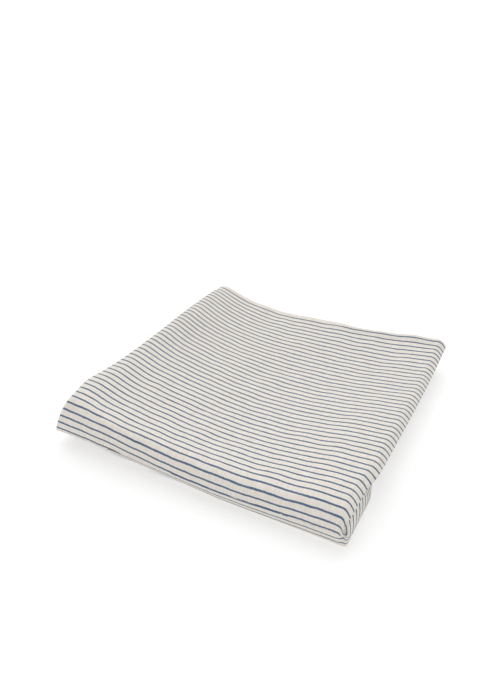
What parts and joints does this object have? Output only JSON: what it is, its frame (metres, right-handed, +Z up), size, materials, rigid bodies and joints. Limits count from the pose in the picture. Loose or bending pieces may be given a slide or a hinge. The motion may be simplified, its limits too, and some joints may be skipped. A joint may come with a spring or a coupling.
{
  "type": "baby wrap sling",
  "caption": "Long striped cotton baby wrap folded into a flat square packet, whose upper half swings open on its last fold.",
  "frame": {"origin": "centre of the whole packet's box, on the surface it lies on", "axes": "+X along the stripes towards the right-hand folds, +Y from the last fold (front) to the hemmed edges (back), +Z up"},
  "size_m": [0.29, 0.3345, 0.0464],
  "materials": {
    "striped_cotton": "matte woven cotton, cream with thin slate blue stripes 7.3 mm apart",
    "marker_ribbon": "matte cotton twill ribbon",
    "label_satin": "blank white satin ribbon"
  },
  "bodies": {
    "lower_half": {"lower_leaf_1": "striped_cotton", "lower_leaf_2": "striped_cotton", "lower_leaf_3": "striped_cotton", "lower_leaf_4": "striped_cotton", "lower_leaf_5": "striped_cotton", "lower_leaf_6": "striped_cotton", "lower_leaf_7": "striped_cotton", "lower_leaf_8": "striped_cotton", "lower_middle_marker": "marker_ribbon"},
    "upper_half": {"upper_leaf_1": "striped_cotton", "upper_leaf_2": "striped_cotton", "upper_leaf_3": "striped_cotton", "upper_leaf_4": "striped_cotton", "upper_leaf_5": "striped_cotton", "upper_leaf_6": "striped_cotton", "upper_leaf_7": "striped_cotton", "upper_leaf_8": "striped_cotton", "upper_middle_marker": "marker_ribbon"},
    "care_label": {"care_label": "label_satin"}
  },
  "joints": [
    {"name": "last_fold", "type": "hinge", "parent": "lower_half", "child": "upper_half", "pos_m": [0, -0.16755, 0.0175], "axis": [1, 0, 0], "range_deg": [0, 176]},
    {"name": "label_seam", "type": "hinge", "parent": "lower_half", "child": "care_label", "pos_m": [0.06, 0.14995, 0.0006], "axis": [1, 0, 0], "range_deg": [0, 85]}
  ]
}
